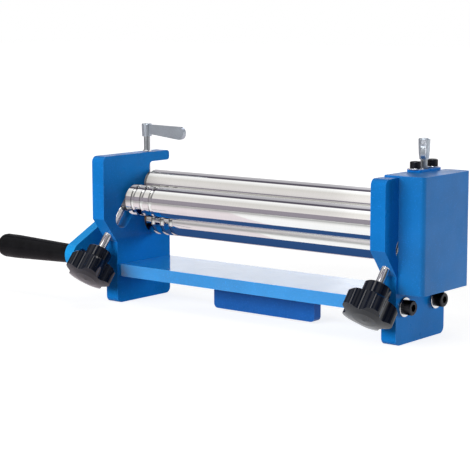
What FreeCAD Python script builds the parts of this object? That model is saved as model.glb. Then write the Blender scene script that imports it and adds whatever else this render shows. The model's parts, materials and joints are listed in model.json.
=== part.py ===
import FreeCAD, Part
import math
import os

# Slip roll machine, bench model, 12 inch rolls.
# X runs along the rolls to the gear side, Y to the rear, Z up; millimetres.
# Origin: centre of the bottom face of the vise tongue.

os.makedirs("parts", exist_ok=True)
V = FreeCAD.Vector

# ---------------------------------------------------------------- fits
RUN = 0.05  # radial clearance of a turning or sliding fit
FREE = 0.5  # gap between pieces that pass each other
HOLE = 0.3  # radial clearance of a plain bolt hole
END_CLEAR = 0.1  # between a screw's end and the bottom of its blind hole
OVER = 1.0  # how far a cut runs past the face it opens
TANGENT = 0.01  # keeps two corner arcs from meeting in one point

# ---------------------------------------------------------------- rolls
ROLL_LEN = 305.0
ROLL_R = 15.0
ROLL_CHAMFER = 0.8
JOURNAL_R = 7.0
ROLL_GAP = 5.0  # between top and lower roll in the open position
SIDE_GAP = 3.5  # from a roll's end to the side plate
LOWER_Y = 15.0
LOWER_Z = 77.0
TOP_Z = LOWER_Z + 2 * ROLL_R + ROLL_GAP
TOP_DOWN = 4.75  # travel of the top roll
TOP_UP = 0.75
GROOVE_R = 2.5  # wire grooves
GROOVE_FIRST = 9.7
GROOVE_PITCH = 11.4
GROOVE_COUNT = 3
GROOVE_FLATS = 6  # flats that stand for each groove's round

# ---------------------------------------------------------------- side plates
PLATE_T = 15.0
PLATE_IN = ROLL_LEN / 2 + SIDE_GAP
PLATE_OUT = PLATE_IN + PLATE_T
FOOT_Z = -2.0
PLATE_TOP = 144.5
PLATE_FRONT = -57.0
PLATE_BACK = 40.0
FOOT_FRONT = -38.5
FACET_TOP = 83.0
FACET_LOW = 59.0
CORNER_R = 6.0
ARM_T = 9.6  # left plate's arm over the release notch
NOTCH_WALL = 10.1
NOTCH_R = 4.5
LIP_Z = 106.0

# ---------------------------------------------------------------- bearings
BUSH_R = 13.0
BUSH_FLAT = 11.0  # height of the flat above the bush's axis
SEAT_CLEAR = 0.2
BUSH_RIM_R = 15.5
BUSH_RIM_T = 2.5
BLOCK_W = 17.8
BLOCK_LIP = 2.7
BLOCK_LIP_W = 24.0
SLOT_SIDE = 0.1
SHY = 0.3  # how far a sliding block stays clear of each face of the plate
LOWER_BUSH_R = 10.0
LOWER_RIM_R = 13.0
LOWER_RIM_T = 3.0

# ---------------------------------------------------------------- bending roll slide
SLIDE_DEG = 39.5  # from the vertical, leaning to the rear
SLOT_LOW_Y = -30.2
SLOT_LOW_Z = 81.9
SLOT_LEN = 24.9
BEND_AT = 22.7  # along the slot
BEND_BLOCK_R = 9.7
BEND_BLOCK_DROP = 3.0
BEND_LIP_R = 11.5

# ---------------------------------------------------------------- bed and tongue
BED_HALF_Y = 36.0
BED_LOW = 25.0
BED_T = 12.0
TONGUE_HALF = 60.0
TONGUE_T = 10.0
TONGUE_CORNER = 4.5
BED_SCREW_Y = 25.5
BED_SCREW_R = 4.0
BED_SCREW_DEPTH = 22.0
BED_SCREW_TURN = 17.0  # how the head's socket happens to stand
BED_WASHER_R = 8.7
BED_WASHER_T = 1.5

# ---------------------------------------------------------------- clamp levers
STUD_R = 3.2
STUD_TIP = 4.0  # how far the stud reaches into its bearing
LEVER_Z = (159.7, 161.6)  # bottom of the left and right hub
LEVER_TURN = (0.0, -59.0)  # which way the blades point at rest
LEVER_DROP = (1.4, 0.9)  # how far the blade's end hangs below the hub
HUB_R = 5.3
HUB_H = 12.8
NECK_R = 4.2
NECK_H = 5.6
STUD_GRIP = 4.0  # how far the stud reaches into its hub
BLADE_LEN = 50.0
BLADE_T = 4.0
BLADE_ROOT_H = 9.6
BLADE_END_R = 6.0
COLLAR_R = 4.4
COLLAR_T = 1.5

# ---------------------------------------------------------------- cap bar
CAP_T = 3.5
CAP_FRONT = -2.5
CAP_BACK = 32.5
CAP_SCREW_Y = (1.0, 29.0)
CAP_SCREW_R = 3.0
CAP_SCREW_DEPTH = 16.0
CAP_SCREW_TURN = 10.0
CAP_CORNER_R = 2.5
CAP_WASHER_R = 7.0
CAP_WASHER_T = 1.2

# ---------------------------------------------------------------- adjusting screws
SCREW_R = 4.0
SCREW_OUT = 17.6  # knob's hub to the facet's middle at rest
SCREW_WALL = 1.5  # between the roll's journal and the screw's end
SCREW_PIN = 1.0  # how much thinner the screw's end is than its thread
KNOB_H = 34.0
KNOB_HUB_R = 12.2
KNOB_LOBE_H = 20.5
SHOULDER = 3.5
KNOB_WALL = 12.0
KNOB_DOME = 4.0
CROWN_STEPS = (0.0, 0.45, 0.75, 1.0)  # shares of the tip radius where the crown's slope changes
LOBES = 5
LOBE_TIP_R = 24.0
LOBE_R = 7.5
VALLEY_R = 17.5
LOBE_TURN = 29.0

# ---------------------------------------------------------------- gears
TEETH = 10
PITCH_R = 15.1
PRESSURE_DEG = 20.0
TOOTH_FRACTION = 0.42  # of the pitch that the tooth fills
GEAR_TIP_R = 18.2
GEAR_ROOT_R = 11.6
GEAR_IN = PLATE_OUT + 2.0
GEAR_W = 14.0
KEY_W = 4.0
KEY_DEEP = 2.0
KEY_HIGH = 1.5
RING_T = 1.2
RING_R = 9.6
RING_GROOVE_R = 6.4
RING_MOUTH = 5.0
RING_AT = GEAR_IN + GEAR_W
ROLL_END = RING_AT + RING_T + 1.6

# ---------------------------------------------------------------- gear cover
SHEET = 1.5
COVER_OUT = PLATE_OUT + 25.2
COVER_FRONT = -36.1
COVER_BACK = 39.6
COVER_LOW = 43.9
COVER_BEND = 4.0
TAB_W = 12.0
TAB_H = 13.0
TABS = ((COVER_FRONT, 1, 125.0), (COVER_FRONT, 1, 60.0), (COVER_BACK, -1, 52.0))
COVER_SCREW_R = 2.5
COVER_HEAD_R = 4.5
COVER_HEAD_H = 2.8
COVER_SOCKET = 3.0
WELD_NUT = 8.0
WELD_NUT_H = 4.0

# ---------------------------------------------------------------- crank
CRANK_IN = PLATE_OUT + 19.0
CRANK_T = 11.5
CRANK_R = 75.3
CRANK_DEG = 25.5  # below the horizontal, to the front
CRANK_HUB_R = 14.0
CRANK_END_R = 13.0
FLAT_CUT = 1.5  # drive flat on the roll's end
SET_SCREW_R = 2.5
SET_SCREW_LOW = 1.5  # below the hub's surface
SPINDLE_R = 5.0
SPINDLE_FOOT_R = 3.0
SPINDLE_NUT = 10.0
SPINDLE_NUT_H = 4.0
CRANK_POCKET_R = 6.5
CRANK_POCKET = 3.0
GRIP_COLLAR_R = 8.8
GRIP_COLLAR_T = 3.0
GRIP_GAP = 0.4
GRIP_LEN = 100.0
GRIP_R_IN = 9.4
GRIP_R_OUT = 12.0
GRIP_ROUND = 8.5  # of the grip's outer end
GRIP_FLATS = 4
GRIP_END_WALL = 12.0
SNAP_AT = 60.0  # snap groove on the spindle that keeps the grip on
SNAP_W = 3.0
SNAP_R = 4.2

# hexagon socket screws, as shares of the thread's radius
HEAD_WIDE = 1.64
HEAD_HIGH = 2.0
SOCKET_WIDE = 1.5
SOCKET_DEEP = 1.1
EDGE = 0.8  # chamfer of heads and hubs


# ================================================================ helpers
def arc_corner(before, corner, after, radius):
    """The two ends and the middle of the arc that rounds one corner."""
    one = (before - corner).normalize()
    two = (after - corner).normalize()
    half = one.getAngle(two) / 2
    back = radius / math.tan(half)
    inward = (one + two).normalize()
    centre = corner + inward * (radius / math.sin(half))
    return corner + one * back, centre - inward * radius, corner + two * back


def outline(points, place):
    """A closed face through (a, b) or (a, b, corner radius) points."""
    spots = [place(p[0], p[1]) for p in points]
    radii = [p[2] if len(p) > 2 else 0 for p in points]
    pieces, first, last = [], None, None
    for i, corner in enumerate(spots):
        after = spots[(i + 1) % len(spots)]
        if radii[i]:
            start, middle, end = arc_corner(spots[i - 1], corner, after, radii[i])
        else:
            start = end = corner
        if last is not None and (start - last).Length > 1e-6:
            pieces.append(Part.makeLine(last, start))
        if radii[i]:
            pieces.append(Part.Arc(start, middle, end).toShape())
        first = start if first is None else first
        last = end
    if (first - last).Length > 1e-6:
        pieces.append(Part.makeLine(last, first))
    return Part.Face(Part.Wire(pieces))


def plate_x(points, x0, x1):
    """An outline in the Y-Z plane carried from x0 to x1."""
    return outline(points, lambda y, z: V(x0, y, z)).extrude(V(x1 - x0, 0, 0))


def plate_z(points, z0, z1):
    """An outline in the X-Y plane carried from z0 to z1."""
    return outline(points, lambda x, y: V(x, y, z0)).extrude(V(0, 0, z1 - z0))


def box(x0, x1, y0, y1, z0, z1):
    return Part.makeBox(x1 - x0, y1 - y0, z1 - z0, V(x0, y0, z0))


def bar(radius, start, end):
    """A round bar between two points."""
    return Part.makeCylinder(radius, (end - start).Length, start, end - start)


def bar_x(radius, x0, x1, y, z):
    return bar(radius, V(x0, y, z), V(x1, y, z))


def bar_z(radius, x, y, z0, z1):
    return bar(radius, V(x, y, z0), V(x, y, z1))


def turned(profile):
    """A solid of revolution about Z from (radius, height[, rounding]) points."""
    return outline(profile, lambda r, z: V(r, 0, z)).revolve(V(0, 0, 0), V(0, 0, 1), 360)


def chamfered(radius, height):
    """The two profile points of a chamfered upper rim."""
    return [(radius, height - EDGE), (radius - EDGE, height)]


def hexagon(width, height):
    """A six-sided prism of a given width across flats, standing on Z = 0."""
    reach = width / 2 / math.cos(math.radians(30))
    corners = [
        (reach * math.cos(math.radians(60 * i)), reach * math.sin(math.radians(60 * i)))
        for i in range(6)
    ]
    return plate_z(corners, 0, height)


def aimed(shape, at, direction, turn=0.0):
    """Moves a shape made on +Z so that it stands at a point, along a direction."""
    made = shape.copy()
    made.rotate(V(0, 0, 0), V(0, 0, 1), turn)
    swing = FreeCAD.Rotation(V(0, 0, 1), direction)
    made.Placement = FreeCAD.Placement(at, swing).multiply(made.Placement)
    return made


def mirrored(shape):
    return shape.mirror(V(0, 0, 0), V(1, 0, 0))


def at_right(shape, side):
    """A shape made for the right-hand side, put on side +1 or -1."""
    return shape if side > 0 else mirrored(shape)


def washer(outer, inner, thick):
    ring = bar_z(outer, 0, 0, 0, thick).cut(bar_z(inner, 0, 0, -OVER, thick + OVER))
    rims = [e for e in ring.Edges if e.Curve.TypeId == "Part::GeomCircle"]
    return ring.makeChamfer(thick * 0.2, [e for e in rims if e.Curve.Radius > outer - 0.01])


def socket_screw(radius, shank):
    """A hexagon socket screw: head above Z = 0, shank below it."""
    head_r = radius * HEAD_WIDE
    head_h = radius * HEAD_HIGH
    head = turned([(0, 0), (head_r, 0), *chamfered(head_r, head_h), (0, head_h)])
    well = hexagon(radius * SOCKET_WIDE, head_h)
    well.translate(V(0, 0, head_h - radius * SOCKET_DEEP))
    tip = radius * 0.25
    thread = turned(
        [(0, 0), (radius, 0), (radius, -shank + tip), (radius - tip, -shank), (0, -shank)]
    )
    return head.cut(well).fuse(thread).removeSplitter()


def save(name, shape):
    """Writes one node: a solid, or several separate ones of the same kind."""
    if isinstance(shape, (list, tuple)):
        shape = Part.makeCompound(shape)
    shape.exportStep("parts/" + name + ".step")


# ================================================================ shared places
slide = math.radians(SLIDE_DEG)
SLIDE = V(0, math.sin(slide), math.cos(slide))
SLOT_LOW = V(0, SLOT_LOW_Y, SLOT_LOW_Z)
BEND = SLOT_LOW + SLIDE * BEND_AT
SLOT_R = BEND_BLOCK_R + SLOT_SIDE
STUD_X = PLATE_IN + PLATE_T / 2
BED_TOP = BED_LOW + BED_T
BED_MIDDLE = BED_LOW + BED_T / 2
POCKET_R = BUSH_R + SEAT_CLEAR
POCKET_Z = TOP_Z - TOP_DOWN
BLOCK_SLOT_R = BLOCK_W / 2 + SLOT_SIDE
FACET = V(0, (PLATE_FRONT + FOOT_FRONT) / 2, (FACET_TOP + FACET_LOW) / 2)
# where the screw's axis meets the slanted facet
facet_run = V(0, FOOT_FRONT - PLATE_FRONT, FACET_LOW - FACET_TOP)
facet_normal = V(0, facet_run.z, -facet_run.y).normalize()
EXIT = SLOT_LOW - SLIDE * ((SLOT_LOW - FACET).dot(facet_normal) / SLIDE.dot(facet_normal))
KNOB_TOP = EXIT - SLIDE * SCREW_OUT


# ================================================================ side plates
def plate_blank(x0, x1):
    """The outline that both side plates share."""
    return plate_x(
        [
            (PLATE_FRONT, PLATE_TOP, CORNER_R),
            (PLATE_BACK, PLATE_TOP, CORNER_R / 2),
            (PLATE_BACK, FOOT_Z, CORNER_R),
            (FOOT_FRONT, FOOT_Z, CORNER_R),
            (FOOT_FRONT, FACET_LOW),
            (PLATE_FRONT, FACET_TOP),
        ],
        x0,
        x1,
    )


def slot(low, high, radius, x0, x1):
    """A slot with round ends between two points of the Y-Z plane."""
    along = (high - low).normalize()
    across = V(0, -along.z, along.y) * radius
    flat = Part.makePolygon(
        [
            V(x0, 0, 0) + low - across,
            V(x0, 0, 0) + high - across,
            V(x0, 0, 0) + high + across,
            V(x0, 0, 0) + low + across,
            V(x0, 0, 0) + low - across,
        ]
    )
    made = Part.Face(flat).extrude(V(x1 - x0, 0, 0))
    for end in (low, high):
        made = made.fuse(bar_x(radius, x0, x1, end.y, end.z))
    return made.removeSplitter()


def plate_cuts(x0, x1):
    """Cuts that both plates share: slide slot, lower bush, bed screws, adjusting screw."""
    cuts = [
        slot(SLOT_LOW, SLOT_LOW + SLIDE * SLOT_LEN, SLOT_R, x0 - OVER, x1 + OVER),
        bar_x(LOWER_BUSH_R, x0 - OVER, x1 + OVER, LOWER_Y, LOWER_Z),
    ]
    for y in (-BED_SCREW_Y, BED_SCREW_Y):
        cuts.append(bar_x(BED_SCREW_R + HOLE, x0 - OVER, x1 + OVER, y, BED_MIDDLE))
    middle = V((x0 + x1) / 2, 0, 0)
    cuts.append(bar(SCREW_R + RUN, middle + EXIT - SLIDE * 3 * SCREW_R, middle + SLOT_LOW))
    return cuts


left_plate = plate_blank(-PLATE_OUT, -PLATE_IN)
for cut in plate_cuts(-PLATE_OUT, -PLATE_IN):
    left_plate = left_plate.cut(cut)
# release notch, open to the rear, with the round seat of the top bush below it
arm_low = PLATE_TOP - ARM_T
left_plate = left_plate.cut(
    plate_x(
        [
            (NOTCH_WALL, arm_low, NOTCH_R),
            (PLATE_BACK + OVER, arm_low),
            (PLATE_BACK + OVER, LIP_Z),
            (NOTCH_WALL, LIP_Z),
        ],
        -PLATE_OUT - OVER,
        -PLATE_IN + OVER,
    )
)
left_plate = left_plate.cut(
    slot(
        V(0, LOWER_Y, POCKET_Z),
        V(0, LOWER_Y, TOP_Z + TOP_UP + SEAT_CLEAR),
        POCKET_R,
        -PLATE_OUT - OVER,
        -PLATE_IN + OVER,
    )
)
left_plate = left_plate.cut(
    bar_z(STUD_R + RUN, -STUD_X, LOWER_Y, arm_low - OVER, PLATE_TOP + OVER)
)


def rounded_edges(shape, wanted, radius):
    """Fillets the edges parallel to X that pass near the wanted (y, z) places."""
    edges = []
    for edge in shape.Edges:
        box_of = edge.BoundBox
        if box_of.XLength < PLATE_T - 0.01 or box_of.YLength > 0.01:
            continue
        if any(math.hypot(box_of.YMin - y, box_of.ZMin - z) < 0.5 for y, z in wanted):
            edges.append(edge)
    return shape.makeFillet(radius, edges)


left_plate = rounded_edges(
    left_plate,
    [(LOWER_Y + POCKET_R, LIP_Z), (PLATE_BACK, LIP_Z), (PLATE_BACK, arm_low)],
    CORNER_R / 2,
)
save("left_side_plate", left_plate)

right_plate = plate_blank(PLATE_IN, PLATE_OUT)
for cut in plate_cuts(PLATE_IN, PLATE_OUT):
    right_plate = right_plate.cut(cut)
right_plate = right_plate.cut(
    slot(
        V(0, LOWER_Y, POCKET_Z - SEAT_CLEAR),
        V(0, LOWER_Y, PLATE_TOP + BLOCK_SLOT_R),
        BLOCK_SLOT_R,
        PLATE_IN - OVER,
        PLATE_OUT + OVER,
    )
)
for y in CAP_SCREW_Y:
    right_plate = right_plate.cut(
        bar_z(CAP_SCREW_R, STUD_X, y, PLATE_TOP - CAP_SCREW_DEPTH, PLATE_TOP + OVER)
    )
for face_y, inward, z in TABS:
    y = face_y + inward * (SHEET + TAB_W / 2)
    right_plate = right_plate.cut(
        bar_x(COVER_SCREW_R + HOLE, PLATE_IN - OVER, PLATE_OUT + OVER, y, z)
    )
save("right_side_plate", right_plate)

# ================================================================ bed and tongue
bed = box(-PLATE_IN, PLATE_IN, -BED_HALF_Y, BED_HALF_Y, BED_LOW, BED_TOP)
for side in (-1, 1):
    for y in (-BED_SCREW_Y, BED_SCREW_Y):
        hole = bar_x(BED_SCREW_R, PLATE_IN - BED_SCREW_DEPTH, PLATE_IN + OVER, y, BED_MIDDLE)
        bed = bed.cut(at_right(hole, side))
save("bed_plate", bed)

tongue = outline(
    [
        (-TONGUE_HALF, 0, TONGUE_CORNER),
        (TONGUE_HALF, 0, TONGUE_CORNER),
        (TONGUE_HALF, BED_LOW),
        (-TONGUE_HALF, BED_LOW),
    ],
    lambda x, z: V(x, -TONGUE_T / 2, z),
).extrude(V(0, TONGUE_T, 0))
save("vise_tongue", tongue)

bed_shank = BED_WASHER_T + PLATE_T + BED_SCREW_DEPTH - BED_SCREW_R / 2
bed_screw = socket_screw(BED_SCREW_R, bed_shank)
bed_washer = washer(BED_WASHER_R, BED_SCREW_R + HOLE, BED_WASHER_T)
for side, word in ((-1, "left"), (1, "right")):
    screws, washers = [], []
    for y in (-BED_SCREW_Y, BED_SCREW_Y):
        seat = V(PLATE_OUT, y, BED_MIDDLE)
        washers.append(at_right(aimed(bed_washer, seat, V(1, 0, 0)), side))
        seat = seat + V(BED_WASHER_T, 0, 0)
        screws.append(at_right(aimed(bed_screw, seat, V(1, 0, 0), BED_SCREW_TURN), side))
    save("bed_screws_" + word, screws)
    save("bed_washers_" + word, washers)


# ================================================================ rolls
def roll_body():
    """A plain roll along X, centred, with chamfered ends."""
    made = turned(
        [
            (0, -ROLL_LEN / 2),
            (ROLL_R - ROLL_CHAMFER, -ROLL_LEN / 2),
            (ROLL_R, -ROLL_LEN / 2 + ROLL_CHAMFER),
            (ROLL_R, ROLL_LEN / 2 - ROLL_CHAMFER),
            (ROLL_R - ROLL_CHAMFER, ROLL_LEN / 2),
            (0, ROLL_LEN / 2),
        ]
    )
    return aimed(made, V(0, 0, 0), V(1, 0, 0))


def grooved(roll):
    """Cuts the round wire grooves near the left end."""
    profile = [(ROLL_R + OVER, -GROOVE_R)]
    for i in range(GROOVE_FLATS + 1):
        angle = math.pi * i / GROOVE_FLATS
        profile.append((ROLL_R - GROOVE_R * math.sin(angle), -GROOVE_R * math.cos(angle)))
    profile.append((ROLL_R + OVER, GROOVE_R))
    ring = turned(profile)
    for i in range(GROOVE_COUNT):
        x = -ROLL_LEN / 2 + GROOVE_FIRST + i * GROOVE_PITCH
        roll = roll.cut(aimed(ring, V(x, 0, 0), V(1, 0, 0)))
    return roll


def gear_end(roll):
    """Adds the journal on the gear side, with its keyway and ring groove."""
    roll = roll.fuse(bar_x(JOURNAL_R, ROLL_LEN / 2 - OVER, ROLL_END, 0, 0))
    half = KEY_W / 2
    keyway = box(GEAR_IN, ROLL_END + OVER, -half, half, JOURNAL_R - KEY_DEEP, JOURNAL_R + OVER)
    groove = bar_x(JOURNAL_R + OVER, RING_AT, RING_AT + RING_T, 0, 0)
    groove = groove.cut(bar_x(RING_GROOVE_R, RING_AT - OVER, RING_AT + RING_T + OVER, 0, 0))
    return roll.cut([keyway, groove])


top_roll = gear_end(roll_body())
top_left_end = PLATE_OUT + BUSH_RIM_T
top_roll = top_roll.fuse(bar_x(JOURNAL_R, -top_left_end, -ROLL_LEN / 2 + OVER, 0, 0))
top_roll.translate(V(0, LOWER_Y, TOP_Z))
save("top_roll", top_roll.removeSplitter())

crank_out = CRANK_IN + CRANK_T
lower_roll = gear_end(grooved(roll_body()))
lower_roll = lower_roll.fuse(bar_x(JOURNAL_R, -crank_out, -ROLL_LEN / 2 + OVER, 0, 0))
drive_in = -PLATE_OUT - FREE
flat_at = JOURNAL_R - FLAT_CUT
lower_roll = lower_roll.cut(
    box(-crank_out - OVER, drive_in, -JOURNAL_R, JOURNAL_R, flat_at, JOURNAL_R + OVER)
)
lower_roll.translate(V(0, LOWER_Y, LOWER_Z))
save("lower_roll", lower_roll.removeSplitter())

bend_end = PLATE_OUT - 2 * FREE
bending_roll = grooved(roll_body())
bending_roll = bending_roll.fuse(bar_x(JOURNAL_R, ROLL_LEN / 2 - OVER, bend_end, 0, 0))
bending_roll = bending_roll.fuse(bar_x(JOURNAL_R, -bend_end, -ROLL_LEN / 2 + OVER, 0, 0))
bending_roll.translate(BEND)
save("bending_roll", bending_roll.removeSplitter())

# ================================================================ bearings
rim_in = PLATE_IN - LOWER_RIM_T
lower_bush = bar_x(LOWER_BUSH_R, rim_in, PLATE_OUT, LOWER_Y, LOWER_Z)
lower_bush = lower_bush.fuse(bar_x(LOWER_RIM_R, rim_in, PLATE_IN, LOWER_Y, LOWER_Z))
bore = bar_x(JOURNAL_R + RUN, rim_in - OVER, PLATE_OUT + OVER, LOWER_Y, LOWER_Z)
lower_bush = lower_bush.cut(bore)
save("lower_bush_right", lower_bush)
save("lower_bush_left", mirrored(lower_bush))

# top left: round bush with a flat for the clamp stud and a rim outside the plate
nose = PLATE_IN - LOWER_RIM_T
rim_at = PLATE_OUT + SEAT_CLEAR
rim_end = rim_at + BUSH_RIM_T
above = TOP_Z + BUSH_RIM_R + OVER
flat_z = TOP_Z + BUSH_FLAT
stud_low_left = flat_z - STUD_TIP + 1
top_bush = bar_x(BUSH_R, -rim_at, -nose, LOWER_Y, TOP_Z)
top_bush = top_bush.fuse(bar_x(BUSH_RIM_R, -rim_end, -rim_at, LOWER_Y, TOP_Z))
front, rear = LOWER_Y - BUSH_RIM_R - OVER, LOWER_Y + BUSH_RIM_R + OVER
top_bush = top_bush.cut(
    [
        box(-rim_end - OVER, -nose + OVER, front, rear, flat_z, above),
        bar_x(JOURNAL_R + RUN, -rim_end - OVER, -nose + OVER, LOWER_Y, TOP_Z),
        bar_z(STUD_R + RUN, -STUD_X, LOWER_Y, stud_low_left - END_CLEAR, above),
    ]
)
save("top_bearing_left", top_bush)

# top right: a block that slides in the open slot, with a lip inside the plate
block_top = TOP_Z + BLOCK_W / 2 + STUD_TIP
block_in = PLATE_IN - OVER
block_out = PLATE_OUT - SHY
lip_out = PLATE_IN - SHY
lip_in = lip_out - BLOCK_LIP


def block_outline(width, bottom):
    """Flat top, straight sides, round bottom about the top roll's axis."""
    half = width / 2
    return [
        (LOWER_Y - half, block_top),
        (LOWER_Y + half, block_top),
        (LOWER_Y + half, TOP_Z - bottom, half - TANGENT),
        (LOWER_Y - half, TOP_Z - bottom, half - TANGENT),
    ]


stud_low_right = block_top - STUD_TIP
top_block = plate_x(block_outline(BLOCK_W, BLOCK_W / 2), block_in, block_out)
lip = plate_x(block_outline(BLOCK_LIP_W, BLOCK_LIP_W / 2), lip_in, lip_out)
top_block = top_block.fuse(lip).cut(
    [
        bar_x(JOURNAL_R + RUN, lip_in - OVER, PLATE_OUT, LOWER_Y, TOP_Z),
        bar_z(STUD_R + RUN, STUD_X, LOWER_Y, stud_low_right - END_CLEAR, block_top + OVER),
    ]
)
save("top_bearing_right", top_block.removeSplitter())

# bending roll: sliding blocks with round ends
block_low = BEND - SLIDE * BEND_BLOCK_DROP
block_end = BEND_BLOCK_R + BEND_BLOCK_DROP  # lowest point of the block below its bore's axis
pin_hole_at = JOURNAL_R + SCREW_WALL
stud_at = V(STUD_X, 0, 0) + BEND
bend_block = slot(block_low, BEND, BEND_BLOCK_R, block_in, block_out)
bend_block = bend_block.fuse(bar_x(BEND_LIP_R, lip_in, lip_out, BEND.y, BEND.z))
bend_block = bend_block.cut(
    [
        bar_x(JOURNAL_R + RUN, lip_in - OVER, PLATE_OUT, BEND.y, BEND.z),
        bar(
            SCREW_R - SCREW_PIN + RUN,
            stud_at - SLIDE * (block_end + OVER),
            stud_at - SLIDE * pin_hole_at,
        ),
    ]
)
bend_block = bend_block.removeSplitter()
save("bending_bearing_right", bend_block)
save("bending_bearing_left", mirrored(bend_block))


# ================================================================ gears
def involute(angle):
    return math.tan(angle) - angle


def tooth_half_angle(radius):
    """Half the angle that one tooth fills at a radius; straight below the base circle."""
    pressure = math.radians(PRESSURE_DEG)
    base = PITCH_R * math.cos(pressure)
    reach = max(radius, base)
    at_pitch = math.pi * TOOTH_FRACTION / TEETH
    return at_pitch + involute(pressure) - involute(math.acos(base / reach))


def gear(turn):
    """A long-toothed spur gear that stays in mesh while its roll is lifted."""
    steps = 5
    radii = [GEAR_ROOT_R + (GEAR_TIP_R - GEAR_ROOT_R) * i / steps for i in range(steps + 1)]
    corners = []
    for tooth in range(TEETH):
        middle = math.radians(turn) + 2 * math.pi * tooth / TEETH
        rising = [(r, middle - tooth_half_angle(r)) for r in radii]
        falling = [(r, middle + tooth_half_angle(r)) for r in reversed(radii)]
        corners += [(r * math.cos(a), r * math.sin(a)) for r, a in rising + falling]
    disc = plate_z(corners, 0, GEAR_W)
    return disc.cut(bar_z(JOURNAL_R, 0, 0, -OVER, GEAR_W + OVER))


def geared(name, z, turn):
    """The gear, its key and its retaining ring on one roll's end."""
    upright = FreeCAD.Rotation(V(0, 1, 0), V(0, 0, 1), V(1, 0, 0))
    wheel = gear(turn)
    wheel.Placement = FreeCAD.Placement(V(GEAR_IN, LOWER_Y, z), upright)
    key_low, key_top = z + JOURNAL_R - KEY_DEEP, z + JOURNAL_R + KEY_HIGH
    half = KEY_W / 2
    key = box(GEAR_IN, RING_AT, LOWER_Y - half, LOWER_Y + half, key_low, key_top)
    save(name + "_gear", wheel.cut(key))
    save(name + "_gear_key", key)
    x0, x1 = RING_AT - OVER, RING_AT + RING_T + OVER
    half = RING_MOUTH / 2
    ring = bar_x(RING_R, RING_AT, RING_AT + RING_T, LOWER_Y, z)
    mouth = box(x0, x1, LOWER_Y - half, LOWER_Y + half, z - RING_R - OVER, z)
    save(name + "_gear_ring", ring.cut([bar_x(RING_GROOVE_R, x0, x1, LOWER_Y, z), mouth]))


geared("lower_roll", LOWER_Z, 90)
geared("top_roll", TOP_Z, 90 + 180 / TEETH)


# ================================================================ clamp levers
def lever(side, stud_low):
    """Stud with threads below, neck and hub on top, and the flat blade of the lever."""
    index = 0 if side < 0 else 1
    z = LEVER_Z[index]
    stud_top = z + STUD_GRIP
    stud = bar_z(STUD_R, 0, 0, stud_low, stud_top)
    neck = [(STUD_R, z - NECK_H), (NECK_R, z - NECK_H)] if side > 0 else [(STUD_R, z)]
    hub_top = z + HUB_H
    hub = turned(
        [
            *neck,
            (HUB_R - EDGE / 2, z),
            *chamfered(HUB_R, hub_top),
            (0, hub_top),
            (0, stud_top),
            (STUD_R, stud_top),
        ]
    )
    root = hub_top - EDGE
    end = BLADE_LEN - BLADE_END_R
    low = z - LEVER_DROP[index]
    blade = outline(
        [
            (0, root, 0),
            (BLADE_LEN, root - EDGE, BLADE_END_R),
            (BLADE_LEN, low, BLADE_END_R),
            (end - OVER, low, BLADE_END_R / 2),
            (HUB_R + OVER, root - BLADE_ROOT_H, 0),
            (0, root - BLADE_ROOT_H, 0),
        ],
        lambda s, h: V(s, -BLADE_T / 2, h),
    ).extrude(V(0, BLADE_T, 0))
    grip = hub.fuse(blade).cut(bar_z(STUD_R, 0, 0, stud_low, stud_top))
    for piece in (stud, grip):
        piece.rotate(V(0, 0, 0), V(0, 0, 1), LEVER_TURN[index])
        piece.translate(V(side * STUD_X, LOWER_Y, 0))
    return stud, grip.removeSplitter()


for side, word, low in ((-1, "left", stud_low_left), (1, "right", stud_low_right)):
    stud, grip = lever(side, low)
    save("clamp_stud_" + word, stud)
    save("clamp_lever_" + word, grip)
collar = washer(COLLAR_R, STUD_R + 2 * RUN, COLLAR_T)
save("clamp_collar_left", aimed(collar, V(-STUD_X, LOWER_Y, PLATE_TOP), V(0, 0, 1)))

# ================================================================ cap bar
cap = box(PLATE_IN, PLATE_OUT, CAP_FRONT, CAP_BACK, PLATE_TOP, PLATE_TOP + CAP_T)
upright = [e for e in cap.Edges if e.BoundBox.ZLength > CAP_T - 0.01]
cap = cap.makeFillet(CAP_CORNER_R, upright)
cap_low, cap_high = PLATE_TOP - OVER, PLATE_TOP + CAP_T + OVER
cap = cap.cut(bar_z(STUD_R + RUN, STUD_X, LOWER_Y, cap_low, cap_high))
cap_shank = CAP_WASHER_T + CAP_T + CAP_SCREW_DEPTH - CAP_SCREW_R / 2
cap_screw = socket_screw(CAP_SCREW_R, cap_shank)
cap_washer = washer(CAP_WASHER_R, CAP_SCREW_R + HOLE, CAP_WASHER_T)
cap_screws, cap_washers = [], []
for y in CAP_SCREW_Y:
    cap = cap.cut(bar_z(CAP_SCREW_R + HOLE, STUD_X, y, cap_low, cap_high))
    seat = V(STUD_X, y, PLATE_TOP + CAP_T)
    cap_washers.append(aimed(cap_washer, seat, V(0, 0, 1)))
    seat = seat + V(0, 0, CAP_WASHER_T)
    cap_screws.append(aimed(cap_screw, seat, V(0, 0, 1), CAP_SCREW_TURN))
save("cap_bar", cap)
save("cap_screws", cap_screws)
save("cap_washers", cap_washers)


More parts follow.
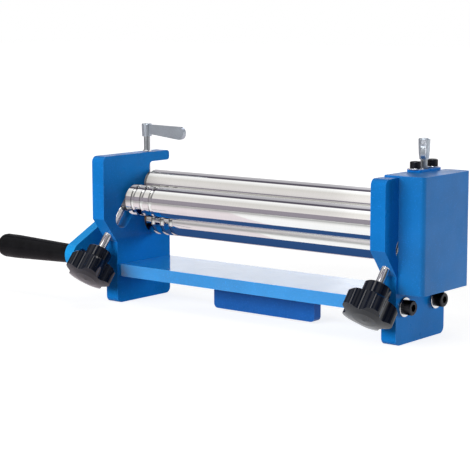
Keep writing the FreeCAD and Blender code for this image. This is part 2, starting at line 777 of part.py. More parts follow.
# ================================================================ adjusting screws
def star(height):
    """The star knob's outline with round lobes and round valleys."""
    centre_r = LOBE_TIP_R - LOBE_R
    half = math.pi / LOBES
    span = centre_r * math.cos(half)
    valley = (centre_r**2 + VALLEY_R**2 - 2 * VALLEY_R * span - LOBE_R**2) / 2
    valley = valley / (LOBE_R + span - VALLEY_R)
    dip_r = VALLEY_R + valley
    edges = []

    def polar(radius, angle):
        return V(radius * math.cos(angle), radius * math.sin(angle), 0)

    for i in range(LOBES):
        middle = 2 * half * i
        lobe = polar(centre_r, middle)
        before = polar(dip_r, middle - half)
        after = polar(dip_r, middle + half)
        start = lobe + (before - lobe).normalize() * LOBE_R
        end = lobe + (after - lobe).normalize() * LOBE_R
        following = polar(centre_r, middle + 2 * half)
        begin = following + (after - following).normalize() * LOBE_R
        edges.append(Part.Arc(start, polar(LOBE_TIP_R, middle), end).toShape())
        edges.append(Part.Arc(end, polar(VALLEY_R, middle + half), begin).toShape())
    return Part.Face(Part.Wire(edges)).extrude(V(0, 0, height))


def knob():
    """Star knob hanging below Z = 0: hub at the top, lobes under it, domed end."""
    lobe_top = -KNOB_H + KNOB_LOBE_H
    low = lobe_top - OVER
    hub = turned([(0, low), (KNOB_HUB_R, low), *chamfered(KNOB_HUB_R, 0), (0, 0)])
    lobes = star(KNOB_LOBE_H)
    lobes.translate(V(0, 0, -KNOB_H))
    # a drum crowns the lobes' outer end and softens their shoulders
    crown = [(LOBE_TIP_R * s, KNOB_DOME * s**2 - KNOB_H) for s in CROWN_STEPS]
    drum = turned(
        crown
        + [
            (LOBE_TIP_R, lobe_top - SHOULDER),
            (LOBE_TIP_R - SHOULDER / 2, lobe_top - SHOULDER / 3),
            (LOBE_TIP_R - 1.5 * SHOULDER, lobe_top),
            (0, lobe_top),
        ]
    )
    made = hub.fuse(lobes.common(drum))
    return made.cut(bar_z(SCREW_R, 0, 0, -KNOB_H + KNOB_WALL, OVER)).removeSplitter()


screw_end = BEND - SLIDE * (pin_hole_at + END_CLEAR)
screw_len = (KNOB_TOP - screw_end).Length + KNOB_H - KNOB_WALL
pin_len = block_end + FREE - pin_hole_at - END_CLEAR
screw = turned(
    [
        (0, 0),
        (SCREW_R - SCREW_PIN, 0),
        (SCREW_R - SCREW_PIN, -pin_len),
        (SCREW_R, -pin_len - SCREW_PIN),
        (SCREW_R, -screw_len),
        (0, -screw_len),
    ]
)
for side, word in ((-1, "left"), (1, "right")):
    at = V(side * STUD_X, 0, 0)
    save("adjust_screw_" + word, aimed(screw, at + screw_end, SLIDE))
    save("adjust_knob_" + word, aimed(knob(), at + KNOB_TOP, SLIDE, LOBE_TURN))

# ================================================================ gear cover
def cover_shell(grow):
    """Front, side and rear walls as one rounded block; grow < 0 gives the inside."""
    radius = COVER_BEND + grow
    return [
        (PLATE_OUT, COVER_FRONT - grow),
        (COVER_OUT + grow, COVER_FRONT - grow, radius),
        (COVER_OUT + grow, COVER_BACK + grow, radius),
        (PLATE_OUT, COVER_BACK + grow),
    ]


cover_top = PLATE_TOP + SHEET
cover = plate_z(cover_shell(0), COVER_LOW, cover_top)
cover = cover.cut(plate_z(cover_shell(-SHEET), COVER_LOW - OVER, PLATE_TOP))
ledge = box(PLATE_IN, PLATE_OUT, COVER_FRONT, CAP_FRONT - FREE, PLATE_TOP, cover_top)
cover = cover.fuse(ledge)
button_shank = PLATE_T + SHEET + WELD_NUT_H
button_screw = turned(
    [
        (0, -button_shank),
        (COVER_SCREW_R, -button_shank),
        (COVER_SCREW_R, 0),
        (COVER_HEAD_R, 0),
        (COVER_HEAD_R * 0.93, COVER_HEAD_H * 0.6),
        (COVER_HEAD_R * 0.72, COVER_HEAD_H),
        (0, COVER_HEAD_H),
    ]
)
button_well = hexagon(COVER_SOCKET, COVER_HEAD_H)
button_well.translate(V(0, 0, COVER_HEAD_H / 2))
button_screw = button_screw.cut(button_well)
weld_nut = hexagon(WELD_NUT, WELD_NUT_H)
weld_nut = weld_nut.cut(bar_z(COVER_SCREW_R, 0, 0, -OVER, WELD_NUT_H + OVER))
cover_screws, cover_nuts = [], []
for face_y, inward, z in TABS:
    y0, y1 = sorted((face_y, face_y + inward * (SHEET + TAB_W)))
    tab = box(PLATE_OUT, PLATE_OUT + SHEET, y0, y1, z - TAB_H / 2, z + TAB_H / 2)
    y = face_y + inward * (SHEET + TAB_W / 2)
    cover = cover.fuse(tab)
    cover = cover.cut(bar_x(COVER_SCREW_R, PLATE_OUT - OVER, PLATE_OUT + SHEET + OVER, y, z))
    cover_screws.append(aimed(button_screw, V(PLATE_IN, y, z), V(-1, 0, 0)))
    cover_nuts.append(aimed(weld_nut, V(PLATE_OUT + SHEET, y, z), V(1, 0, 0), 90))
save("gear_cover", cover.removeSplitter())
save("cover_screws", cover_screws)
save("cover_nuts", cover_nuts)


# ================================================================ crank
def on_crank(shape):
    """Turns a shape made with the arm along -Y into the arm's rest position."""
    made = shape.copy()
    made.rotate(V(0, 0, 0), V(1, 0, 0), CRANK_DEG)
    made.translate(V(0, LOWER_Y, LOWER_Z))
    return made


arm_in, arm_out = -CRANK_IN, -crank_out
lean = math.asin((CRANK_HUB_R - CRANK_END_R) / CRANK_R)
rise = V(0, math.sin(lean), math.cos(lean))
hub_at, end_at = V(arm_out, 0, 0), V(arm_out, -CRANK_R, 0)
corners = [
    hub_at + V(0, -rise.y, rise.z) * CRANK_HUB_R,
    end_at + V(0, -rise.y, rise.z) * CRANK_END_R,
    end_at + V(0, -rise.y, -rise.z) * CRANK_END_R,
    hub_at + V(0, -rise.y, -rise.z) * CRANK_HUB_R,
]
arm = Part.Face(Part.makePolygon(corners + corners[:1])).extrude(V(CRANK_T, 0, 0))
arm = arm.fuse(
    [
        bar_x(CRANK_HUB_R, arm_out, -rim_end - 2 * FREE, 0, 0),
        bar_x(CRANK_END_R, arm_out, arm_in, -CRANK_R, 0),
    ]
)
arm = arm.cut(bar_x(SPINDLE_FOOT_R, arm_out - OVER, arm_in + OVER, -CRANK_R, 0))
arm = arm.cut(bar_x(CRANK_POCKET_R, arm_in - CRANK_POCKET, arm_in + OVER, -CRANK_R, 0))
arm = on_crank(arm)
# the hub's bore has a flat that sits on the roll's drive flat
flat_z = LOWER_Z + flat_at
front, rear = LOWER_Y - JOURNAL_R, LOWER_Y + JOURNAL_R
bore = bar_x(JOURNAL_R, arm_out - OVER, -PLATE_OUT, LOWER_Y, LOWER_Z)
bore = bore.cut(box(arm_out - OVER, -PLATE_OUT, front, rear, flat_z, LOWER_Z + JOURNAL_R))
set_x = (arm_in - rim_end) / 2
set_top = LOWER_Z + CRANK_HUB_R - SET_SCREW_LOW
screw_hole = bar_z(SET_SCREW_R, set_x, LOWER_Y, flat_z, LOWER_Z + CRANK_HUB_R + OVER)
save("crank_arm", arm.cut([bore, screw_hole]).removeSplitter())
set_len = set_top - flat_z
socket = hexagon(SET_SCREW_R, SET_SCREW_R)
socket.translate(V(0, 0, set_len - SET_SCREW_R))
set_screw = bar_z(SET_SCREW_R, 0, 0, 0, set_len).cut(socket)
save("crank_set_screw", aimed(set_screw, V(set_x, LOWER_Y, flat_z), V(0, 0, 1)))

# spindle, made along +Z from the arm's outer face and laid along -X
grip_low = GRIP_COLLAR_T + GRIP_GAP
spindle_end = grip_low + GRIP_LEN - GRIP_END_WALL - FREE
foot_end = -CRANK_T - EDGE
snap_low = grip_low + SNAP_AT
spindle = turned(
    [
        (0, foot_end),
        (SPINDLE_FOOT_R, foot_end),
        (SPINDLE_FOOT_R, 0),
        (SPINDLE_R, 0),
        (SPINDLE_R, snap_low),
        (SNAP_R, snap_low),
        (SNAP_R, snap_low + SNAP_W),
        (SPINDLE_R, snap_low + SNAP_W),
        *chamfered(SPINDLE_R, spindle_end),
        (0, spindle_end),
    ]
)
rib_low = snap_low + FREE
rib_high = snap_low + SNAP_W - FREE
grip_high = grip_low + GRIP_LEN
bore_high = grip_high - GRIP_END_WALL
grip_round = []
for i in range(GRIP_FLATS + 1):
    angle = math.pi / 2 * i / GRIP_FLATS
    out = GRIP_R_OUT - GRIP_ROUND + GRIP_ROUND * math.cos(angle)
    grip_round.append((out, grip_high - GRIP_ROUND + GRIP_ROUND * math.sin(angle)))
grip = turned(
    [
        (SPINDLE_R + RUN, grip_low),
        (GRIP_R_IN - EDGE, grip_low),
        (GRIP_R_IN, grip_low + EDGE),
        (GRIP_R_OUT, grip_high - 2 * GRIP_R_OUT),
        *grip_round,
        (0, grip_high),
        (0, bore_high),
        (SPINDLE_R + RUN, bore_high),
        (SPINDLE_R + RUN, rib_high),
        (SNAP_R + RUN, rib_high),
        (SNAP_R + RUN, rib_low),
        (SPINDLE_R + RUN, rib_low),
    ]
)
collar = turned(
    [
        (SPINDLE_R, 0),
        (GRIP_COLLAR_R, 0),
        *chamfered(GRIP_COLLAR_R, GRIP_COLLAR_T),
        (SPINDLE_R, GRIP_COLLAR_T),
    ]
)
nut = hexagon(SPINDLE_NUT, SPINDLE_NUT_H)
nut = nut.cut(bar_z(SPINDLE_FOOT_R, 0, 0, -OVER, SPINDLE_NUT_H + OVER))
nut = aimed(nut, V(arm_in - CRANK_POCKET, -CRANK_R, 0), V(1, 0, 0))
save("crank_spindle_nut", on_crank(nut))
for name, shape in (("crank_spindle", spindle), ("crank_collar", collar), ("crank_grip", grip)):
    save(name, on_crank(aimed(shape, V(arm_out, -CRANK_R, 0), V(-1, 0, 0))))
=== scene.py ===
import json
import math

import bmesh
import bpy
from mathutils import Matrix, Vector


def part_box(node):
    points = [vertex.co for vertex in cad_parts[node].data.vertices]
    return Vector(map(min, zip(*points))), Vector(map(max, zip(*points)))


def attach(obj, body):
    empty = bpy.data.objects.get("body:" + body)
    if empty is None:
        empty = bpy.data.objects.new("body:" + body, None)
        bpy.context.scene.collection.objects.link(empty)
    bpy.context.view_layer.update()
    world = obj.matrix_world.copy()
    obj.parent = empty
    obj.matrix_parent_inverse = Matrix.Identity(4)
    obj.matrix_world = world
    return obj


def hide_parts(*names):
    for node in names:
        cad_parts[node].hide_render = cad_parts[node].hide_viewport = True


# Slip roll machine: materials, screw threads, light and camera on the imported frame.
# Metres, the CAD's own frame: X along the rolls, Y to the rear, Z up.

CENTRE = Vector((0.0, 0.0, 0.08))  # the middle of the machine, at which the lamps point

# floor; to reflections it is pink on the left of a slanting edge
FLOOR_Z = -0.002
FLOOR_REACH = 8.0
FLOOR_GREY = 0.45  # what the floor gives back of the lamps' light
FLOOR_PINK = (0.78, 0.68, 0.72)
EDGE_SLANT = 0.79  # how far the pink part's edge runs along X for each step along Y
EDGE_AT = -0.010  # where that edge crosses Y = 0
EDGE_SOFT = 0.003  # half the width over which it fades

# camera that matches the photograph's viewing angle
CAMERA_AT = Vector((0.9072, -1.1704, 0.2912))
CAMERA_AZIMUTH = 38.92
CAMERA_ELEVATION = 8.28
CAMERA_ROLL = -0.10
CAMERA_LENS = 121.7

# adjusting screw threads
THREAD_R = 0.0040
THREAD_DEPTH = 0.0007
THREAD_PITCH = 0.00125
THREAD_SHY = 0.0002  # the threaded piece ends this much inside the plain screw
PIN_R = 0.0029
PIN_LEN = 0.0052  # plain end inside the bearing block
SHANK_LEN = 0.038  # plain end: 22 mm in the knob and 16 mm in view
SLIDE_DEG = 39.5  # the slots' lean from upright, to the rear

# copies of the side plates that the bed mirrors
CARD_TOP = 0.062
CARD_SHY = 0.0002  # how far each copy stands inside its plate

# navy copy of the bed that the rolls mirror: a glowing card that paints the bed's shade into their
# reflection
BED_CARD_SCALE = (0.999, 0.98, 0.95, 1)
BED_SHADE_NAVY = (0.030, 0.085, 0.240)

# grey flag that the bending roll mirrors
FLAG_HALF = 0.35
FLAG_Y = -0.075
FLAG_LOW = 0.100
FLAG_HIGH = 0.130
FLAG_GREY = (0.34, 0.31, 0.36)

WORLD_SOFT = 0.20  # strength of the even light from all round

# long strips of light and dark card parallel to the rolls, seen only in reflections:
# the angle about X runs from the front horizon (0) over the top (0.5) to the rear (1)
STRIPS = [
    (0.00, (0.62, 0.60, 0.62)),
    (0.04, (0.66, 0.64, 0.66)),
    (0.07, (0.86, 0.83, 0.83)),
    (0.17, (0.84, 0.81, 0.80)),
    (0.34, (0.76, 0.74, 0.71)),
    (0.41, (0.92, 0.92, 0.91)),
    (0.50, (1.10, 1.10, 1.10)),
    (0.53, (1.10, 1.10, 1.10)),
    (0.55, (0.10, 0.09, 0.12)),
    (0.64, (0.10, 0.09, 0.12)),
    (0.67, (0.46, 0.45, 0.49)),
    (0.90, (0.60, 0.59, 0.62)),
    (0.93, (1.25, 1.25, 1.25)),
]
# upright cards to the side give the round screws and the knobs' lobes light and dark streaks;
# the directions run from the left (0) to the right (1), and 0.1 to 0.3 is what the rolls mirror
SIDE_CARDS = [
    (0.00, (0.25, 0.25, 0.25)),
    (0.09, (0.25, 0.25, 0.25)),
    (0.12, (1.0, 1.0, 1.0)),
    (0.214, (1.0, 1.0, 1.0)),
    (0.217, (1.25, 1.25, 1.25)),
    (0.30, (1.25, 1.25, 1.25)),
    (0.34, (0.35, 0.35, 0.37)),
    (0.43, (0.25, 0.25, 0.27)),
    (0.45, (6.0, 6.0, 6.0)),
    (0.54, (6.0, 6.0, 6.0)),
    (0.56, (0.20, 0.20, 0.22)),
    (0.68, (0.20, 0.20, 0.22)),
    (0.74, (1.0, 1.0, 1.0)),
    (0.84, (1.0, 1.0, 1.0)),
    (0.88, (0.25, 0.25, 0.25)),
]
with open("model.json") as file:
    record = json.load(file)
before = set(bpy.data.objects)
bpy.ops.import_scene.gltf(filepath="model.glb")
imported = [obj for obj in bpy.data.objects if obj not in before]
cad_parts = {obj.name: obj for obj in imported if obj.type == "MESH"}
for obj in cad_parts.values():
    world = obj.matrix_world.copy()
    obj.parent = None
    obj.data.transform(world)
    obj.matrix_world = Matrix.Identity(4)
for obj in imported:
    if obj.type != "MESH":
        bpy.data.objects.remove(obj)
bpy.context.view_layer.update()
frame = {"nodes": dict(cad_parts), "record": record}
nodes = frame["nodes"]


# ---------------------------------------------------------------- helpers
def show(thing):
    """Puts an object into the scene."""
    bpy.context.scene.collection.objects.link(thing)


def mirrored_card(name, mesh, matrix=Matrix.Identity(4)):
    """Stages a mesh that only reflections see."""
    card = bpy.data.objects.new(name, mesh)
    card.matrix_world = matrix
    card.visible_camera = False
    card.visible_diffuse = False
    card.visible_shadow = False
    card.visible_transmission = False
    show(card)


class Wiring:
    """A node tree, with short calls for the nodes it needs."""

    def __init__(self, tree):
        self.tree = tree

    def node(self, kind, **settings):
        made = self.tree.nodes.new(kind)
        for name, value in settings.items():
            setattr(made, name, value)
        return made

    def link(self, start, end):
        self.tree.links.new(start, end)

    def feed(self, made, inputs):
        """Fills (socket, value) pairs; a value is an output, a number or an (r, g, b)."""
        for socket, value in inputs:
            if isinstance(value, tuple):
                made.inputs[socket].default_value = (*value, 1)
            elif isinstance(value, float):
                made.inputs[socket].default_value = value
            else:
                self.link(value, made.inputs[socket])

    def maths(self, operation, *values):
        """One step of arithmetic on outputs or numbers."""
        made = self.node("ShaderNodeMath", operation=operation)
        self.feed(made, enumerate(values))
        return made.outputs[0]

    def mix(self, factor, one, two, blend="MIX"):
        """Blends two colours."""
        made = self.node("ShaderNodeMix", data_type="RGBA", blend_type=blend)
        self.feed(made, ((0, factor), (6, one), (7, two)))
        return made.outputs[2]

    def ramp(self, value, stops):
        """A colour ramp; stops are (position, (r, g, b))."""
        made = self.node("ShaderNodeValToRGB")
        band = made.color_ramp
        while len(band.elements) < len(stops):
            band.elements.new(0.5)
        for element, (at, colour) in zip(band.elements, stops):
            element.position = at
            element.color = (*colour, 1)
        self.link(value, made.inputs["Fac"])
        return made.outputs["Color"]

    def span(self, value, low, high, start=0.3, end=0.7):
        """Maps a value between start and end to low..high."""
        made = self.node("ShaderNodeMapRange")
        made.inputs["From Min"].default_value = start
        made.inputs["From Max"].default_value = end
        made.inputs["To Min"].default_value = low
        made.inputs["To Max"].default_value = high
        self.link(value, made.inputs["Value"])
        return made.outputs["Result"]


# ---------------------------------------------------------------- materials
class Paint(Wiring):
    """A material under construction."""

    def __init__(self, name, **settings):
        self.material = bpy.data.materials.new(name)
        self.material.use_nodes = True
        super().__init__(self.material.node_tree)
        self.shader = self.tree.nodes["Principled BSDF"]
        self.place = self.node("ShaderNodeTexCoord").outputs["Object"]
        for socket, value in settings.items():
            self.shader.inputs[socket.replace("_", " ")].default_value = value

    def scaled(self, scale):
        """Object coordinates stretched by a factor on each axis."""
        mapping = self.node("ShaderNodeMapping")
        mapping.inputs["Scale"].default_value = scale
        self.link(self.place, mapping.inputs["Vector"])
        return mapping.outputs["Vector"]

    def noise(self, scale, detail=3.0, stretch=(1, 1, 1)):
        made = self.node("ShaderNodeTexNoise")
        made.inputs["Scale"].default_value = scale
        made.inputs["Detail"].default_value = detail
        self.link(self.scaled(stretch), made.inputs["Vector"])
        return made.outputs["Fac"]

    def bump(self, value, strength, distance):
        made = self.node("ShaderNodeBump")
        made.inputs["Strength"].default_value = strength
        made.inputs["Distance"].default_value = distance
        self.link(value, made.inputs["Height"])
        self.link(made.outputs["Normal"], self.shader.inputs["Normal"])

    def edges(self, radius=0.0008):
        """1 along sharp edges and 0 on faces, from the bevelled normal."""
        bevel = self.node("ShaderNodeBevel", samples=4)
        bevel.inputs["Radius"].default_value = radius
        geometry = self.node("ShaderNodeNewGeometry")
        dot = self.node("ShaderNodeVectorMath", operation="DOT_PRODUCT")
        self.link(bevel.outputs["Normal"], dot.inputs[0])
        self.link(geometry.outputs["Normal"], dot.inputs[1])
        return self.span(dot.outputs["Value"], 1.0, 0.0, 0.80, 0.99)

    def shade_mask(self, reach):
        """1 on open faces, falling to 0 where other pieces crowd within reach; it masks painted
        shade.
        """
        near = self.node("ShaderNodeAmbientOcclusion", samples=8)
        near.inputs["Distance"].default_value = reach
        return self.span(near.outputs["AO"], 0.0, 1.0, 0.25, 0.70)

    def colour(self, socket):
        self.link(socket, self.shader.inputs["Base Color"])

    def rough(self, socket):
        self.link(socket, self.shader.inputs["Roughness"])


def glow_paint(name, colour):
    """A flat paint that gives its own colour and takes no light."""
    made = Paint(name)
    made.shader.inputs["Base Color"].default_value = (0, 0, 0, 1)
    made.shader.inputs["Specular IOR Level"].default_value = 0.0
    made.shader.inputs["Emission Color"].default_value = (*colour, 1)
    made.shader.inputs["Emission Strength"].default_value = 1.0
    return made.material


def enamel(name, base, roughness=0.30, gloss=0.12, coat=0.0, coat_ior=1.5):
    """Sprayed enamel: faint orange peel, cloudy tone and lighter edges, a painted highlight."""
    made = Paint(name, Roughness=roughness, Coat_Weight=coat, Coat_Roughness=0.08, Coat_IOR=coat_ior)
    made.shader.inputs["Specular IOR Level"].default_value = gloss
    dark = tuple(c * 0.90 for c in base)
    light = tuple(min(1.0, c * 1.08) for c in base)
    tone = made.ramp(made.noise(18.0, 4.0), [(0.35, dark), (0.65, light)])
    specks = made.ramp(made.noise(900.0, 2.0), [(0.60, (0, 0, 0)), (0.72, (1, 1, 1))])
    speck_tone = tuple(min(1.0, c * 1.25 + 0.01) for c in base)
    tone = made.mix(specks, tone, speck_tone)
    # painted highlight: the paint is a lighter tint of itself along the edges
    edge_highlight = tuple(min(1.0, c * 1.35 + 0.03) for c in base)
    made.colour(made.mix(made.edges(), tone, edge_highlight))
    made.rough(made.span(made.noise(60.0, 3.0), roughness - 0.04, roughness + 0.06))
    made.bump(made.noise(650.0, 2.0), 0.10, 0.0002)
    return made.material


SHADE_REACH = 0.040  # within this reach of other pieces the metal's colour is darkened: painted shade


def metal(
    name,
    base,
    roughness,
    grain=(1, 1, 1),
    grain_scale=900.0,
    bump=0.05,
    spread=0.08,
    stain=0.85,
    dull=0.80,
    painted_shade=0.0,
):
    """Bare or plated metal with a machined grain along one direction."""
    made = Paint(name, Metallic=1.0, Roughness=roughness)
    stained = tuple(c * stain for c in base)
    clouds = made.noise(45.0, 4.0)
    streaks = made.noise(grain_scale, 3.0, grain)
    tone = made.ramp(clouds, [(0.30, stained), (0.62, base)])
    scored = tuple(c * dull for c in base)
    fine = made.ramp(streaks, [(0.30, (1, 1, 1)), (0.50, (0, 0, 0))])
    tone = made.mix(fine, tone, scored)
    # painted shade: the colour darkens where other pieces crowd close, as if shaded by them
    if painted_shade:
        tone = made.mix(made.shade_mask(SHADE_REACH), tuple(c * (1 - painted_shade) for c in base), tone)
    made.colour(tone)
    made.rough(made.span(streaks, max(0.02, roughness - spread), roughness + spread))
    made.bump(streaks, bump, 0.0001)
    return made.material


def moulded(name, base, roughness, gloss=0.15, bump_scale=1200.0, bump=0.08, coat=0.0):
    """Moulded plastic with a fine skin texture, slight handling marks and a painted highlight along
    the edges.
    """
    made = Paint(name, Roughness=roughness, Coat_Weight=coat, Coat_Roughness=0.05)
    made.shader.inputs["Specular IOR Level"].default_value = gloss
    light = tuple(c * 1.6 + 0.004 for c in base)
    tone = made.ramp(made.noise(70.0, 5.0), [(0.35, base), (0.75, light)])
    # painted highlight: a lighter tint of the plastic along the edges
    made.colour(made.mix(made.edges(0.0006), tone, tuple(c * 2.2 + 0.01 for c in base)))
    made.rough(made.span(made.noise(140.0, 4.0), roughness - 0.05, roughness + 0.10))
    made.bump(made.noise(bump_scale, 2.0), bump, 0.0002)
    return made.material


# grain runs round the rolls: fast change along X, none round it
ROUND_X = (1, 0.02, 0.02)

MATERIALS = {
    # these blue enamels are one paint; their base colours differ part by part as painted light and
    # shade, for how light falls on each part
    "blue_plate": enamel("plate_enamel", (0.005, 0.205, 0.640)),
    "blue_bed": enamel("bed_enamel", (0.006, 0.300, 0.780), 0.18, 0.2, 1.0, 1.50),
    "blue_tongue": enamel("tongue_enamel", (0.014, 0.126, 0.450)),
    "blue_cover": enamel("cover_enamel", (0.002, 0.185, 0.560), 0.36, 0.38),
    "blue_cap": enamel("cap_enamel", (0.005, 0.190, 0.600), 0.30, 0.25),
    "blue_crank": enamel("crank_enamel", (0.010, 0.350, 0.860), 0.30, 0.15),
    # the ground rolls' colour darkens near other pieces: painted shade
    "roll_steel": metal(
        "ground_roll",
        (0.88, 0.88, 0.87),
        0.05,
        ROUND_X,
        2600.0,
        bump=0.01,
        spread=0.01,
        stain=0.97,
        dull=0.95,
        painted_shade=0.55,
    ),
    "bearing_steel": metal("turned_bearing", (0.20, 0.20, 0.21), 0.28, ROUND_X, 2200.0, 0.06),
    "bronze_bush": metal("oiled_bronze", (0.26, 0.16, 0.08), 0.40, ROUND_X, 2200.0, 0.15),
    "gear_steel": metal("hobbed_gear", (0.33, 0.33, 0.34), 0.30, (1, 0.2, 0.2), 1800.0, 0.2),
    "key_steel": metal("key_stock", (0.55, 0.55, 0.56), 0.28, (0.1, 1, 1), 1500.0),
    "spring_steel": metal("phosphated_ring", (0.07, 0.07, 0.075), 0.42),
    "turned_steel": metal(
        "bright_screw",
        (0.72, 0.73, 0.74),
        0.16,
        (1, 1, 1),
        1500.0,
        bump=0.01,
        spread=0.02,
        stain=0.95,
        dull=0.94,
    ),
    "stud_steel": metal("plated_stud", (0.42, 0.45, 0.47), 0.30, (1, 1, 0.05), 1600.0, 0.1),
    "lever_zinc": metal("tumbled_zinc", (0.55, 0.61, 0.67), 0.42, (1, 1, 1), 700.0, 0.25, 0.10),
    "zinc_washer": metal("zinc_plate", (0.78, 0.79, 0.82), 0.22, (1, 1, 1), 1300.0, 0.08),
    "zinc_nut": metal("nut_plate", (0.66, 0.68, 0.70), 0.26, (1, 1, 1), 1300.0, 0.08),
    "black_screw": metal("black_oxide", (0.030, 0.030, 0.034), 0.34, (1, 1, 1), 1500.0, 0.1),
    "collar_plastic": moulded("collar_moulding", (0.010, 0.010, 0.011), 0.30),
    "grip_plastic": moulded("grip_moulding", (0.003, 0.003, 0.004), 0.40, 0.04, 900.0, 0.06, 0.09),
    "knob_plastic": moulded("knob_moulding", (0.001, 0.003, 0.010), 0.20, 0.04, 1000.0, 0.03, 0.50),
}

SLOT_OF = {s["node"]: s["material_slot"] for s in frame["record"]["subparts"]}
for name, piece in nodes.items():
    piece.data.materials.clear()
    piece.data.materials.append(MATERIALS[SLOT_OF[name]])

# the ground rolls show the studio's cards and not the frame beside them, while the bed
# still mirrors the plates: below CARD_TOP a copy of each plate is seen by glossy rays alone
for name in ("left_side_plate", "right_side_plate", "adjust_knob_left", "adjust_knob_right"):
    nodes[name].visible_glossy = False
for name, inward in (("left_side_plate", CARD_SHY), ("right_side_plate", -CARD_SHY)):
    card_mesh = nodes[name].data.copy()
    cut = bmesh.new()
    cut.from_mesh(card_mesh)
    everything = cut.verts[:] + cut.edges[:] + cut.faces[:]
    at = (0, 0, CARD_TOP)
    up = (0, 0, 1)
    bmesh.ops.bisect_plane(cut, geom=everything, plane_co=at, plane_no=up, clear_outer=True)
    cut.to_mesh(card_mesh)
    cut.free()
    shift = Matrix.Translation((inward, 0, 0))
    mirrored_card(name + "_card", card_mesh, shift @ nodes[name].matrix_world)


# ---------------------------------------------------------------- screw threads
def screw_mesh(name, length):
    """A screw about Z from 0 down to -length: plain pin, right-hand thread, plain shank."""
    around = 40
    per_turn = 6
    rows = int(length / THREAD_PITCH * per_turn)
    verts = []
    faces = []
    for i in range(rows + 1):
        z = -length * i / rows
        for j in range(around):
            angle = 2 * math.pi * j / around
            phase = (z / THREAD_PITCH - j / around) % 1.0
            dip = THREAD_DEPTH * (1 - abs(2 * phase - 1))
            below_pin = -z - PIN_LEN
            above_shank = length - SHANK_LEN + z
            fade = min(1.0, max(0.0, min(below_pin, above_shank) / THREAD_PITCH))
            full = PIN_R if below_pin < 0 else THREAD_R
            radius = full - dip * fade
            verts.append((radius * math.cos(angle), radius * math.sin(angle), z))
    for i in range(rows):
        for j in range(around):
            k = (j + 1) % around
            faces.append((i * around + j, (i + 1) * around + j, (i + 1) * around + k, i * around + k))
    faces.append(tuple(range(around)))
    faces.append(tuple(rows * around + j for j in reversed(range(around))))
    mesh = bpy.data.meshes.new(name)
    mesh.from_pydata(verts, [], faces)
    mesh.update()
    for face in mesh.polygons:
        face.use_smooth = len(face.vertices) == 4
    made = bpy.data.objects.new(name, mesh)
    show(made)
    return made


def reach_along(node, direction):
    """The lowest and highest reach of a node along a direction."""
    reach = [v.co.dot(direction) for v in nodes[node].data.vertices]
    return min(reach), max(reach)


tilt = math.radians(SLIDE_DEG)
SLIDE = Vector((0, math.sin(tilt), math.cos(tilt)))
for side, word in ((-1, "left"), (1, "right")):
    screw = "adjust_screw_" + word
    low, high = reach_along(screw, SLIDE)
    box_low, box_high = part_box(screw)
    centre = (box_low + box_high) / 2
    top = centre + SLIDE * (high - THREAD_SHY - centre.dot(SLIDE))
    piece = screw_mesh("adjust_thread_" + word, high - low - 2 * THREAD_SHY)
    turn = SLIDE.to_track_quat("Z", "Y").to_matrix().to_4x4()
    piece.data.transform(Matrix.Translation(top) @ turn)
    piece.data.materials.append(MATERIALS["turned_steel"])
    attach(piece, word + "_adjuster")
    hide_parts(screw)

# ---------------------------------------------------------------- floor
signs = ((-1, -1), (1, -1), (1, 1), (-1, 1))
corners = [(x * FLOOR_REACH, y * FLOOR_REACH, FLOOR_Z) for x, y in signs]
floor_mesh = bpy.data.meshes.new("floor")
floor_mesh.from_pydata(corners, [], [(0, 1, 2, 3)])
floor = bpy.data.objects.new("floor", floor_mesh)
show(floor)

floor_paint = bpy.data.materials.new("floor_white")
floor_paint.use_nodes = True
floor_paint.node_tree.nodes.clear()
wiring = Wiring(floor_paint.node_tree)
path = wiring.node("ShaderNodeLightPath")
camera_ray = path.outputs["Is Camera Ray"]
glossy_ray = path.outputs["Is Glossy Ray"]
spot = wiring.node("ShaderNodeTexCoord").outputs["Object"]
axes = wiring.node("ShaderNodeSeparateXYZ")
wiring.link(spot, axes.inputs[0])
distance = wiring.node("ShaderNodeVectorMath", operation="LENGTH")
wiring.link(spot, distance.inputs[0])

# to the camera the floor is white a little way from the machine; metal sees it darker in front
to_camera = wiring.span(distance.outputs["Value"], 0.80, 1.00, 0.30, 0.80)
to_metal = wiring.span(axes.outputs["Y"], 0.15, 0.82, -0.50, -0.18)
to_camera = wiring.maths("MULTIPLY", to_camera, camera_ray)
to_metal = wiring.maths("MULTIPLY", to_metal, glossy_ray)
strength = wiring.maths("ADD", to_camera, to_metal)

# left of the slanting edge the floor is faintly pink, to reflections only
from_edge = wiring.maths("MULTIPLY_ADD", axes.outputs["Y"], -EDGE_SLANT, axes.outputs["X"])
past_edge = wiring.span(from_edge, 0.0, 1.0, EDGE_AT - EDGE_SOFT, EDGE_AT + EDGE_SOFT)
white_here = wiring.maths("MAXIMUM", past_edge, camera_ray)

glow = wiring.node("ShaderNodeEmission")
wiring.link(wiring.mix(white_here, FLOOR_PINK, (1, 1, 1)), glow.inputs["Color"])
wiring.link(strength, glow.inputs["Strength"])
diffuse = wiring.node("ShaderNodeBsdfDiffuse")
diffuse.inputs["Color"].default_value = (FLOOR_GREY, FLOOR_GREY, FLOOR_GREY, 1)
both = wiring.node("ShaderNodeAddShader")
wiring.link(diffuse.outputs[0], both.inputs[0])
wiring.link(glow.outputs[0], both.inputs[1])
wiring.link(both.outputs[0], wiring.node("ShaderNodeOutputMaterial").inputs["Surface"])
floor_mesh.materials.append(floor_paint)


# ---------------------------------------------------------------- light
def lamp(name, at, size, power):
    """A rectangular soft box that faces the machine."""
    light = bpy.data.lights.new(name, "AREA")
    light.shape = "RECTANGLE"
    light.size, light.size_y = size
    light.energy = power
    made = bpy.data.objects.new(name, light)
    made.location = at
    made.rotation_euler = (CENTRE - Vector(at)).to_track_quat("-Z", "Y").to_euler()
    made.visible_glossy = False  # polished steel shows the card strips of the world instead
    show(made)


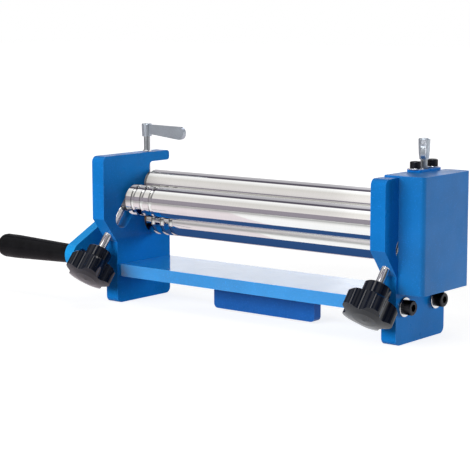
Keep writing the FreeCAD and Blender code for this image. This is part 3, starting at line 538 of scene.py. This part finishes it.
lamp("front_soft_box", (-0.25, -2.1, 0.75), (1.8, 0.9), 40.0)
lamp("top_soft_box", (0.0, 0.1, 2.2), (2.0, 1.2), 6.0)
lamp("right_soft_box", (1.9, 1.3, 0.35), (0.6, 0.6), 18.5)

# a grey flag close in front, level with the bending roll, draws that roll's dark line
flag_spots = ((-1, FLAG_LOW), (1, FLAG_LOW), (1, FLAG_HIGH), (-1, FLAG_HIGH))
flag_corners = [(side * FLAG_HALF, FLAG_Y, z) for side, z in flag_spots]
flag_mesh = bpy.data.meshes.new("flag")
flag_mesh.from_pydata(flag_corners, [], [(0, 1, 2, 3)])
flag_mesh.materials.append(glow_paint("flag_grey", FLAG_GREY))
mirrored_card("flag", flag_mesh)

# in place of the bed the rolls mirror a navy copy, a little smaller, as dark as in the photograph
# painted reflection of shade: the navy copy glows its own dark colour in place of the bed lying in
# shade under the rolls
nodes["bed_plate"].visible_glossy = False
navy_mesh = nodes["bed_plate"].data.copy()
navy_mesh.materials.clear()
navy_mesh.materials.append(glow_paint("bed_shade_glow", BED_SHADE_NAVY))
bed_low, bed_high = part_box("bed_plate")
middle = Matrix.Translation((bed_low + bed_high) / 2)
shrink = middle @ Matrix.Diagonal(BED_CARD_SCALE) @ middle.inverted()
mirrored_card("bed_shade_card", navy_mesh, shrink @ nodes["bed_plate"].matrix_world)

# ---------------------------------------------------------------- world
world = bpy.data.worlds.new("studio")
bpy.context.scene.world = world
world.use_nodes = True
world.node_tree.nodes.clear()
wiring = Wiring(world.node_tree)


def background(colour, strength):
    """World light of one colour."""
    made = wiring.node("ShaderNodeBackground")
    wiring.feed(made, (("Color", colour), ("Strength", strength)))
    return made.outputs[0]


def choose(rays, others, seen):
    """Shows one background to the named rays and another to the rest."""
    made = wiring.node("ShaderNodeMixShader")
    wiring.feed(made, enumerate((rays, others, seen)))
    return made.outputs[0]


direction = wiring.node("ShaderNodeSeparateXYZ")
wiring.link(wiring.node("ShaderNodeTexCoord").outputs["Generated"], direction.inputs[0])
to_front = wiring.maths("MULTIPLY", direction.outputs["Y"], -1.0)
angle = wiring.maths("ARCTAN2", direction.outputs["Z"], to_front)
strips = wiring.ramp(wiring.maths("DIVIDE", angle, math.pi), STRIPS)
side_cards = wiring.ramp(wiring.span(direction.outputs["X"], 0.0, 1.0, -1.0, 1.0), SIDE_CARDS)

path = wiring.node("ShaderNodeLightPath")
soft = background((1, 1, 1), WORLD_SOFT)
mirror = background(wiring.mix(1.0, strips, side_cards, "MULTIPLY"), 1.0)
white = background((1, 1, 1), 1.0)
shown = choose(path.outputs["Is Glossy Ray"], soft, mirror)
shown = choose(path.outputs["Is Camera Ray"], shown, white)
wiring.link(shown, wiring.node("ShaderNodeOutputWorld").inputs["Surface"])

# ---------------------------------------------------------------- camera
azimuth = math.radians(CAMERA_AZIMUTH)
elevation = math.radians(CAMERA_ELEVATION)
forward = Vector(
    (
        -math.sin(azimuth) * math.cos(elevation),
        math.cos(azimuth) * math.cos(elevation),
        -math.sin(elevation),
    )
)
camera_data = bpy.data.cameras.new("camera")
camera_data.lens = CAMERA_LENS
camera_data.sensor_width = 36.0
camera_data.clip_end = 50.0
camera = bpy.data.objects.new("camera", camera_data)
roll = Matrix.Rotation(math.radians(CAMERA_ROLL), 4, "Z")
turn = forward.to_track_quat("-Z", "Y").to_matrix().to_4x4()
camera.matrix_world = Matrix.Translation(CAMERA_AT) @ turn @ roll
show(camera)
bpy.context.scene.camera = camera
bpy.context.scene.view_settings.view_transform = "Standard"
